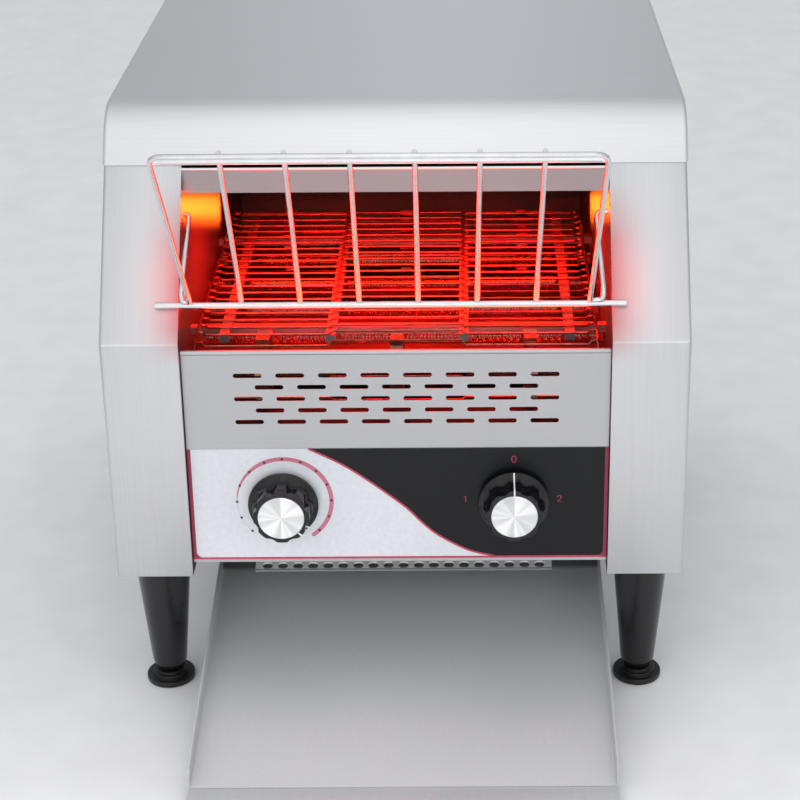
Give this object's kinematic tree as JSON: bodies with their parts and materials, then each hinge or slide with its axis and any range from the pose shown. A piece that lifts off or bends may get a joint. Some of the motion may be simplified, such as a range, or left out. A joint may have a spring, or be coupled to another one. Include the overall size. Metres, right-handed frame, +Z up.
{
  "type": "conveyor toaster",
  "caption": "Countertop conveyor toaster: wire loading rack, flat wire belt between quartz heating tubes, return slide to a pull-out tray, control knobs, on tall legs.",
  "frame": {"origin": "on the counter, under the middle of the overall box (tray lip to cable gland)", "axes": "+X to the user's right, +Y from the front to the back, +Z up"},
  "size_m": [0.372, 0.562, 0.4074],
  "materials": {
    "brushed_cover": "brushed stainless steel sheet",
    "chamber_steel": "stainless sheet dulled by heat",
    "inner_steel": "plain zinc-coated sheet",
    "printed_overlay": "printed polyester film, white and black with a red line",
    "quartz_tube": "milky quartz tube, glowing orange",
    "ceramic": "glazed white ceramic",
    "bronze": "sintered bronze",
    "belt_wire": "stainless spring wire",
    "turned_steel": "turned bright steel",
    "sprocket_steel": "plain machined steel",
    "chain_steel": "oiled steel chain",
    "motor_case": "grey painted steel can",
    "control_housing": "dark moulded phenolic",
    "knob_plastic": "black moulded ABS",
    "knob_cap": "spun aluminium",
    "black_plastic": "black moulded nylon",
    "rubber_black": "black moulded rubber",
    "chrome_wire": "bright chromed wire"
  },
  "bodies": {
    "cabinet": {"top_hood": "brushed_cover", "side_panel_left": "brushed_cover", "side_panel_right": "brushed_cover", "inner_wall_left": "chamber_steel", "inner_wall_right": "chamber_steel", "base_plate_left": "inner_steel", "base_plate_right": "inner_steel", "back_panel": "brushed_cover", "front_panel": "brushed_cover", "panel_overlay": "printed_overlay", "header_plate": "brushed_cover", "upper_reflector": "chamber_steel", "lower_reflector": "chamber_steel", "heat_shield": "inner_steel", "control_floor": "inner_steel", "return_chute": "chamber_steel", "exit_slide": "brushed_cover", "upper_tubes": "quartz_tube", "lower_tubes": "quartz_tube", "upper_end_caps": "ceramic", "lower_end_caps": "ceramic", "shaft_bearings": "bronze", "belt_rails": "inner_steel", "conveyor_belt": "belt_wire", "gear_motor": "motor_case", "motor_bracket": "inner_steel", "drive_chain": "chain_steel", "speed_regulator": "control_housing", "selector_switch": "control_housing", "terminal_block": "ceramic", "thermal_cutout": "control_housing", "fan_frame": "black_plastic", "cable_gland": "black_plastic", "earth_stud": "turned_steel", "tray_guide_left": "inner_steel", "tray_guide_right": "inner_steel", "legs": "black_plastic", "cabinet_screws": "turned_steel"},
    "drive_shaft": {"rear_shaft": "turned_steel", "rear_sprockets": "sprocket_steel", "driven_sprocket": "sprocket_steel"},
    "front_roller": {"front_shaft": "turned_steel", "front_sprockets": "sprocket_steel"},
    "motor_output": {"motor_shaft": "turned_steel", "motor_sprocket": "sprocket_steel"},
    "fan": {"fan_rotor": "black_plastic"},
    "rack": {"loading_rack": "chrome_wire"},
    "tray_body": {"tray": "brushed_cover", "tray_bumpers": "rubber_black"},
    "colour_control": {"colour_knob": "knob_plastic", "colour_knob_cap": "knob_cap", "regulator_spindle": "turned_steel"},
    "mode_control": {"mode_knob": "knob_plastic", "mode_knob_cap": "knob_cap", "selector_spindle": "turned_steel"},
    "foot_fl": {"foot_front_left": "rubber_black"},
    "foot_fr": {"foot_front_right": "rubber_black"},
    "foot_bl": {"foot_back_left": "rubber_black"},
    "foot_br": {"foot_back_right": "rubber_black"}
  },
  "joints": [
    {"name": "drive_shaft_spin", "type": "hinge", "parent": "cabinet", "child": "drive_shaft", "pos_m": [0, 0.0985, 0.22978], "axis": [-1, 0, 0], "continuous": true, "deforming": ["conveyor_belt", "drive_chain"]},
    {"name": "front_roller_spin", "type": "hinge", "parent": "cabinet", "child": "front_roller", "pos_m": [0, -0.12, 0.22978], "axis": [-1, 0, 0], "continuous": true},
    {"name": "motor_spin", "type": "hinge", "parent": "cabinet", "child": "motor_output", "pos_m": [0.142, 0.14897, 0.14901], "axis": [-1, 0, 0], "continuous": true},
    {"name": "fan_spin", "type": "hinge", "parent": "cabinet", "child": "fan", "pos_m": [-0.06, 0.2408, 0.15], "axis": [0, -1, 0], "continuous": true},
    {"name": "rack_lift", "type": "hinge", "parent": "cabinet", "child": "rack", "pos_m": [0, -0.095, 0.324], "axis": [-1, 0, 0], "range_deg": [0, 75]},
    {"name": "tray_slide", "type": "slide", "parent": "cabinet", "child": "tray_body", "axis": [0, -1, 0], "range_m": [0, 0.12]},
    {"name": "colour_turn", "type": "hinge", "parent": "cabinet", "child": "colour_control", "pos_m": [-0.0735, -0.151, 0.147], "axis": [0, -1, 0], "range_deg": [0, 270]},
    {"name": "mode_turn", "type": "hinge", "parent": "cabinet", "child": "mode_control", "pos_m": [0.0735, -0.151, 0.147], "axis": [0, -1, 0], "range_deg": [-90, 90]},
    {"name": "foot_fl_turn", "type": "hinge", "parent": "cabinet", "child": "foot_fl", "pos_m": [-0.158, -0.121, 0], "axis": [0, 0, 1], "continuous": true},
    {"name": "foot_fr_turn", "type": "hinge", "parent": "cabinet", "child": "foot_fr", "pos_m": [0.158, -0.121, 0], "axis": [0, 0, 1], "continuous": true},
    {"name": "foot_bl_turn", "type": "hinge", "parent": "cabinet", "child": "foot_bl", "pos_m": [-0.158, 0.237, 0], "axis": [0, 0, 1], "continuous": true},
    {"name": "foot_br_turn", "type": "hinge", "parent": "cabinet", "child": "foot_br", "pos_m": [0.158, 0.237, 0], "axis": [0, 0, 1], "continuous": true}
  ],
  "couplings": [
    {"joint": "front_roller_spin", "follows": "drive_shaft_spin", "ratio": 1},
    {"joint": "motor_spin", "follows": "drive_shaft_spin", "ratio": 1}
  ]
}
